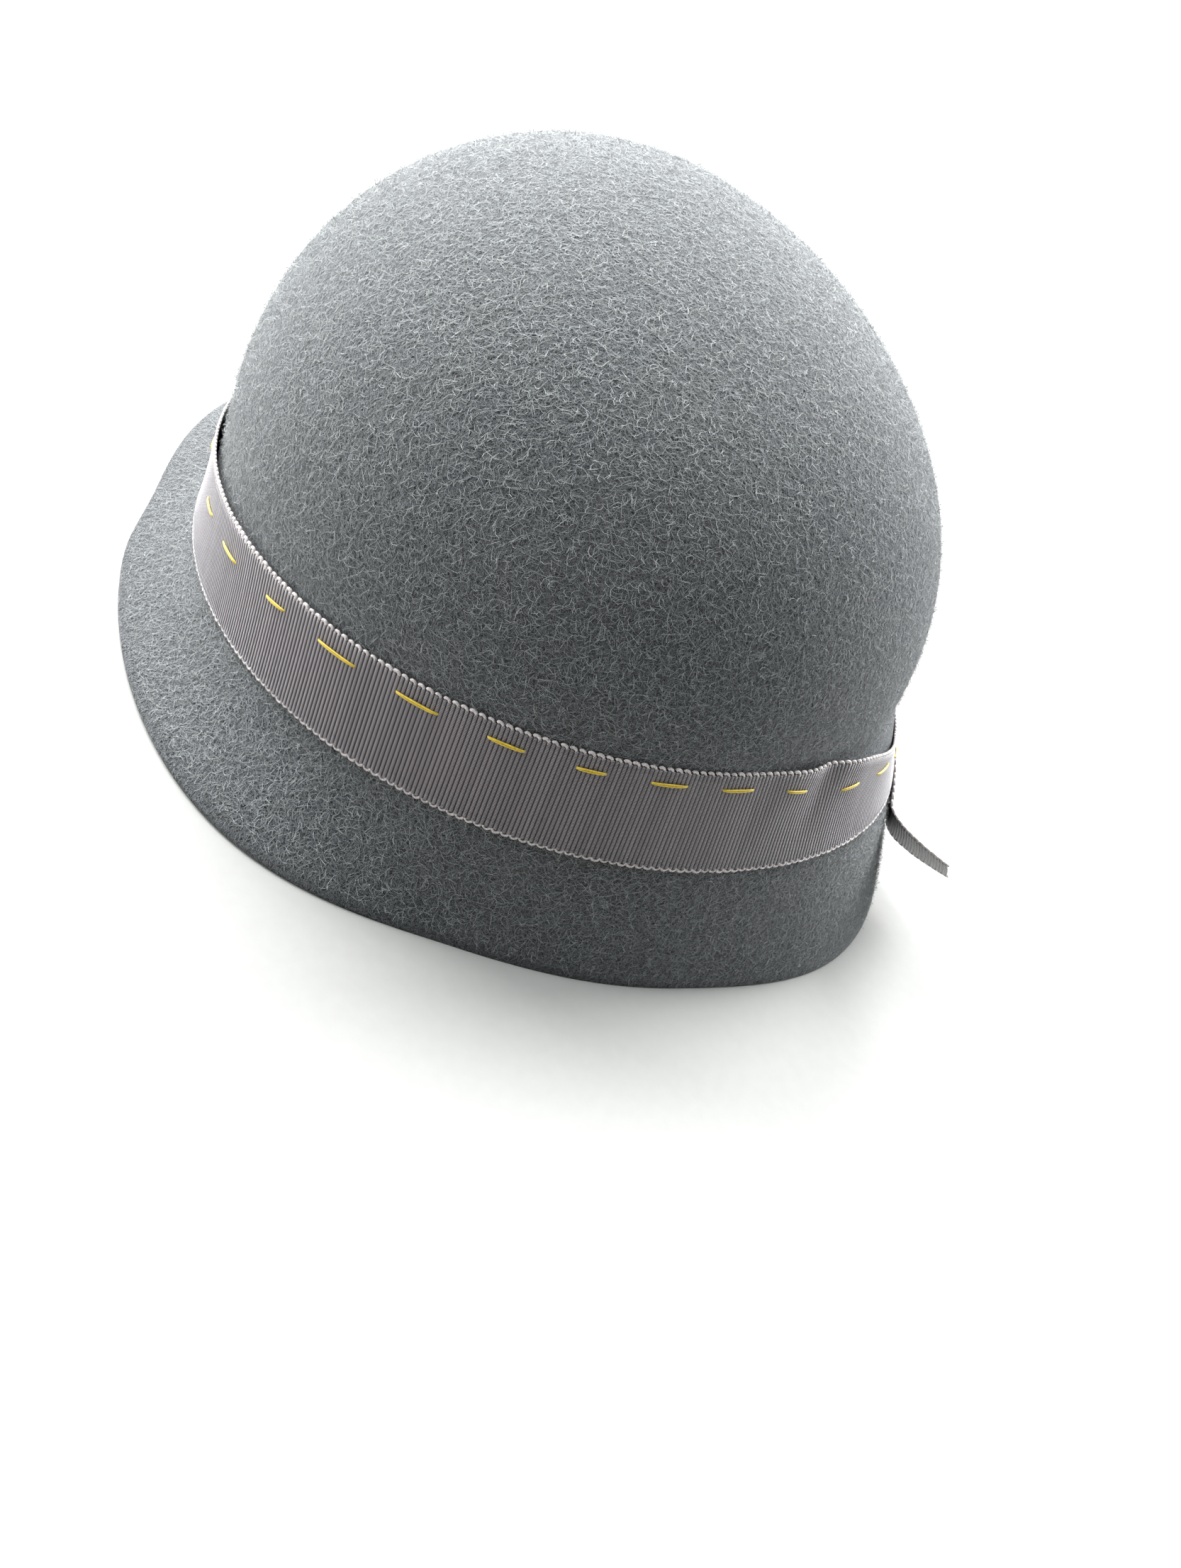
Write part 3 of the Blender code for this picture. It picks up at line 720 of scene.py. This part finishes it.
# Mercerised sewing cotton: warm yellow, slightly glossy, with fine darker lines along its twist.
thread_material, tree, shader = new_material("yellow_sewing_cotton")
place = add_node(tree, "ShaderNodeTexCoord").outputs["Object"]
fine = add_node(tree, "ShaderNodeTexNoise", {"Vector": place, "Scale": 2200.0, "Detail": 2.0})
dyed = add_node(tree, "ShaderNodeMix",
                {"Factor": fine.outputs["Fac"], "A": srgb("#a8881c"), "B": srgb("#f0d440")}, data_type="RGBA")
tree.links.new(dyed.outputs["Result"], shader.inputs["Base Color"])
shader.inputs["Roughness"].default_value = 0.45
shader.inputs["IOR"].default_value = 1.53
shader.inputs["Specular IOR Level"].default_value = 0.4
shader.inputs["Sheen Weight"].default_value = 0.2

thread_points = []
thread_edges = []


def sew(start, end, start_below, end_below):
    """One stitch: both threads rise out of the ribbon, run over it and go in again."""
    for side in (-1.0, 1.0):
        share = np.array((0.0, 0.05, 0.2, 0.4, 0.6, 0.8, 0.95, 1.0))
        lift = np.array((-0.6, 0.15, 0.34, 0.38, 0.38, 0.34, 0.15, -0.6)) * 0.001
        apart = np.array((0.02, 0.08, 0.16, 0.2, 0.2, 0.16, 0.08, 0.02)) * 0.001 * side
        angle = np.radians(start + (end - start) * share)
        below = 0.001 * (start_below + (end_below - start_below) * share) + apart
        gap = ribbon_gap(angle, below) + pleats(angle, below) + 0.5 * RIBBON_THICKNESS + 0.0001
        first = len(thread_points)
        thread_points.extend(to_rest(side_point(angle, below, gap + lift)))
        thread_edges.extend((first + i, first + i + 1) for i in range(len(share) - 1))


for stitch in STITCHES:
    sew(*stitch)
for number, start in enumerate(PLAIN_STITCHES):
    length = (4.4, 5.6, 4.8, 6.0)[number % 4]
    drop = (4.6, 4.2, 4.9)[number % 3]
    sew(start, start + length, drop, drop + (0.3, -0.2)[number % 2])
stitches = new_piece("running_stitches", thread_points, edges=thread_edges)
apply_tree(stitches, thread_tree, {"Thread radius": THREAD_RADIUS, "Material": thread_material})
settle(stitches)
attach(stitches, "root")


# The bow, on the wearer's right: a flat bow folded from the same ribbon. Two tails lie lowest,
# two loops are folded back over them, and a short wrap holds the middle. It is sewn to the band.
# The back tail's end stands away from the brim and its edge shows past the hat.

BOW_ANGLE = 264.0
LOOP_LENGTH = 0.024
LOOP_BULGE = 0.007
LOOP_PINCH = 0.70
KNOT_WIDTH = 0.010
TAIL_LENGTH = 0.070
TAIL_ROOT_WIDTH = 0.007
TAIL_LAID = 0.86
TAIL_GATHERED = 0.7
TAIL_BEND = 1.6
# Columns: tail, direction along the ribbon, drop of its end, how far its end stands away.
TAILS = (("back", 1.0, 0.036, 0.0170), ("front", -1.0, 0.012, 0.0040))
LAYER = 0.0009
TAIL_HEIGHT = 0.0006
LOOP_HEIGHT = TAIL_HEIGHT + LAYER
BOW_START = 0.0006


def brim_bulge(angle, below):
    """How far the brim stands out beyond the line of the ribbon, at a length below the oval."""
    if np.max(below) <= RIBBON_WIDTH:
        return np.zeros_like(below)
    down, normal = side_slope(angle)
    start = side_point(angle, np.full_like(angle, RIBBON_WIDTH), np.zeros_like(angle))
    shares = np.linspace(0.0, 1.0, 8)
    away = np.array([brim_point(angle, np.full_like(angle, share)) - start for share in shares])
    along = np.sum(away * down, axis=-1)
    out = np.sum(away * normal, axis=-1)
    past = below - RIBBON_WIDTH
    return np.array([np.interp(low, along[:, i], out[:, i]) for i, low in enumerate(past)])


def bow_point(along, below, stand_off, side):
    """A point of the bow: along the ribbon from the knot, down from its middle line, and out."""
    middle = np.radians(BOW_ANGLE)
    radius = np.hypot(*head_oval(np.array(middle))[0][:2])
    angle = middle - side * np.asarray(along) / radius
    down = 0.5 * RIBBON_WIDTH + np.asarray(below)
    lift = ribbon_gap(angle, np.clip(down, 0.0, RIBBON_WIDTH)) + 0.0003
    return to_rest(side_point(angle, down, lift + brim_bulge(angle, down) + stand_off))


def loop_row(share, across, side):
    reach = np.sin(np.pi * share)
    along = BOW_START + (LOOP_LENGTH - BOW_START) * reach
    height = LOOP_HEIGHT + LAYER * share + LOOP_BULGE * reach ** 2 * share
    past_knot = (along - 0.5 * KNOT_WIDTH - CLEARANCE) / (LOOP_LENGTH - 0.5 * KNOT_WIDTH)
    width = RIBBON_WIDTH * (LOOP_PINCH + (1.0 - LOOP_PINCH) * smooth(past_knot))
    fade = smooth(3.0 * past_knot) * smooth(1.6 - 2.0 * past_knot) * share
    gathers = 0.0007 * np.cos(7.0 * np.pi * across) * fade
    return bow_point(np.full_like(across, along), across * width, height + gathers, side)


def tail_row(share, across, side, drop, flare):
    free = np.maximum((share - TAIL_LAID) / (1.0 - TAIL_LAID), 0.0) ** 1.75
    width = TAIL_ROOT_WIDTH + (RIBBON_WIDTH - TAIL_ROOT_WIDTH) * smooth(share / TAIL_GATHERED)
    turn = np.arctan(drop * TAIL_BEND * share ** (TAIL_BEND - 1.0) / TAIL_LENGTH)
    along = BOW_START + (TAIL_LENGTH - BOW_START) * share - np.sin(turn) * width * across
    below = drop * share ** TAIL_BEND + np.cos(turn) * width * across
    fade = smooth(6.0 * share) * smooth(1.5 - 2.2 * share)
    gathers = 0.0004 * (1.0 + np.cos(6.0 * np.pi * across)) * fade
    return bow_point(np.maximum(along, BOW_START), below, TAIL_HEIGHT + flare * free + gathers, side)


def knot_row(share, across, side):
    half = 0.5 * RIBBON_WIDTH * LOOP_PINCH + LAYER + CLEARANCE
    top = LOOP_HEIGHT + 2.0 * LAYER + CLEARANCE
    foot = TAIL_HEIGHT + LAYER
    below = half * (2.0 * share - 1.0)
    inside = np.clip((half - abs(below)) / (0.5 * (top - foot)), 0.0, 1.0)
    height = foot + (top - foot) * np.sqrt(1.0 - (1.0 - inside) ** 2)
    crease = 0.0003 * np.cos(4.0 * np.pi * across) * inside
    along = across * KNOT_WIDTH * (1.0 - 0.12 * np.sin(np.pi * share))
    return bow_point(along, np.full_like(across, below), height + crease, side)


def bow_piece(name, row, side, front_row_first, *shape):
    """A length of ribbon of the bow, its columns spaced evenly along it, six to each rib."""
    across = np.linspace(-0.5, 0.5, ROWS_RIBBON + 1)
    fine = np.linspace(0.0, 1.0, 400)
    line = np.array([row(share, across, side, *shape)[ROWS_RIBBON // 2] for share in fine])
    run = np.concatenate([[0.0], np.cumsum(np.linalg.norm(np.diff(line, axis=0), axis=1))])
    ribs = int(round(run[-1] / RIB_PITCH))
    shares = np.interp(np.linspace(0.0, run[-1], ribs * COLUMNS_PER_RIB + 1), run, fine)
    grid = np.stack([row(share, across, side, *shape) for share in shares], axis=1)
    if not front_row_first:
        grid = grid[::-1]
    distance = np.arange(grid.shape[1]) / COLUMNS_PER_RIB * RIB_PITCH
    piece = ribbon_piece(name + "_woven", grid, distance)
    front = grid_normals(grid, False)
    if name != "bow_knot":
        edge_loops(name + "_first_loops", grid[0], front[0], ribs, UPPER_LOOP, 7)
        edge_loops(name + "_second_loops", grid[-1, ::-1], front[-1, ::-1], ribs, LOWER_LOOP, 8)
    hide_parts(name)
    return piece, run[-1]


for word, side, drop, flare in TAILS:
    bow_piece("bow_tail_" + word, tail_row, side, side < 0, drop, flare)
    bow_piece("bow_loop_" + word, loop_row, side, side > 0)
bow_piece("bow_knot", knot_row, 1.0, True)


# The studio: a pale table top that runs on without an edge and is painted paler from 0.7 m outwards,
# painted light where the lamps reach it less; two soft windows before the hat and on its right, a weak one on
# its left, and a bright plain room that is dark behind the hat. None of it is part of the hat.

ROOM_DARK_SIDE = (0.41, 0.90, -0.15)
TABLE_REACH = 30.0
table_corners = [(x * TABLE_REACH, y * TABLE_REACH, 0.0) for x, y in ((-1, -1), (1, -1), (1, 1), (-1, 1))]
table_top = new_piece("table_top", table_corners, [(0, 1, 2, 3)])
white_top, tree, shader = new_material("white_table_laminate")
place = add_node(tree, "ShaderNodeTexCoord").outputs["Object"]
grain = add_node(tree, "ShaderNodeTexNoise", {"Vector": place, "Scale": 300.0, "Detail": 2.0})
white = add_node(tree, "ShaderNodeMix",
                 {"Factor": grain.outputs["Fac"], "A": srgb("#9b9b99"), "B": srgb("#a0a09e")},
                 data_type="RGBA")
reach = add_node(tree, "ShaderNodeVectorMath", {0: place}, operation="LENGTH")
# Painted light: the table is painted paler far off, where less light from the lamps reaches it.
far_painted_light = add_node(tree, "ShaderNodeMapRange",
                   {"Value": reach.outputs["Value"], "From Min": 0.7, "From Max": 2.2})
floor_with_painted_light = add_node(tree, "ShaderNodeMix", {"Factor": far_painted_light.outputs[0], "A": white.outputs["Result"],
                                         "B": srgb("#c4c4c2")}, data_type="RGBA")
tree.links.new(floor_with_painted_light.outputs["Result"], shader.inputs["Base Color"])
shader.inputs["Roughness"].default_value = 0.7
shader.inputs["Specular IOR Level"].default_value = 0.2
table_top.data.materials.append(white_top)

room = bpy.data.worlds.new("window_room")
room.use_nodes = True
tree = room.node_tree
toward = add_node(tree, "ShaderNodeTexCoord").outputs["Generated"]
facing = add_node(tree, "ShaderNodeVectorMath", {0: toward, 1: ROOM_DARK_SIDE}, operation="DOT_PRODUCT")
bright = add_node(tree, "ShaderNodeMapRange",
                  {"Value": facing.outputs["Value"], "From Min": -0.25, "From Max": 0.35,
                   "To Min": 3.2, "To Max": 0.0},
                  interpolation_type="SMOOTHSTEP")
back_light = tree.nodes["Background"]
back_light.inputs["Color"].default_value = srgb("#f8fbfc")
tree.links.new(bright.outputs[0], back_light.inputs["Strength"])
bpy.context.scene.world = room

# Columns: name, place in metres, width in metres, power in watts. All face the hat.
HAT_MIDDLE = Vector((0.0, 0.0, 0.05))
LIGHTS = (
    ("window_light", (0.30, -1.35, 0.90), 1.6, 118.0),
    ("second_window", (-1.35, -0.60, 1.05), 1.2, 75.0),
    ("side_window", (1.50, -0.60, 0.45), 0.8, 9.0),
)
for name, spot, size, power in LIGHTS:
    lamp = bpy.data.lights.new(name, "AREA")
    lamp.shape = "DISK"
    lamp.size = size
    lamp.energy = power
    holder = bpy.data.objects.new(name, lamp)
    holder.location = spot
    holder.rotation_euler = (HAT_MIDDLE - Vector(spot)).to_track_quat("-Z", "Y").to_euler()
    bpy.context.scene.collection.objects.link(holder)

# The camera looks at the back of the hat from its left and from above, and is turned on its side
# by 34 degrees, as in the photo. CAMERA_TURN is its azimuth, height and roll in degrees.
CAMERA_PLACE = (0.1754, 0.2206, 0.1972)
CAMERA_TURN = (132.38, 38.72, -34.08)
azimuth, height, roll = np.radians(CAMERA_TURN)
back = np.array((np.sin(azimuth) * np.cos(height), -np.cos(azimuth) * np.cos(height), np.sin(height)))
right = np.cross(-back, (0.0, 0.0, 1.0))
right /= np.linalg.norm(right)
down = np.cross(-back, right)
image_right = np.cos(roll) * right + np.sin(roll) * down
image_down = -np.sin(roll) * right + np.cos(roll) * down
lens = bpy.data.cameras.new("camera")
lens.sensor_width = 36.0
lens.lens = 26.92
lens.clip_start = 0.01
lens.clip_end = 50.0
camera = bpy.data.objects.new("camera", lens)
turn = Matrix((image_right, -image_down, back)).transposed().to_4x4()
camera.matrix_world = Matrix.Translation(CAMERA_PLACE) @ turn
bpy.context.scene.collection.objects.link(camera)
bpy.context.scene.camera = camera
bpy.context.scene.view_settings.view_transform = "Standard"
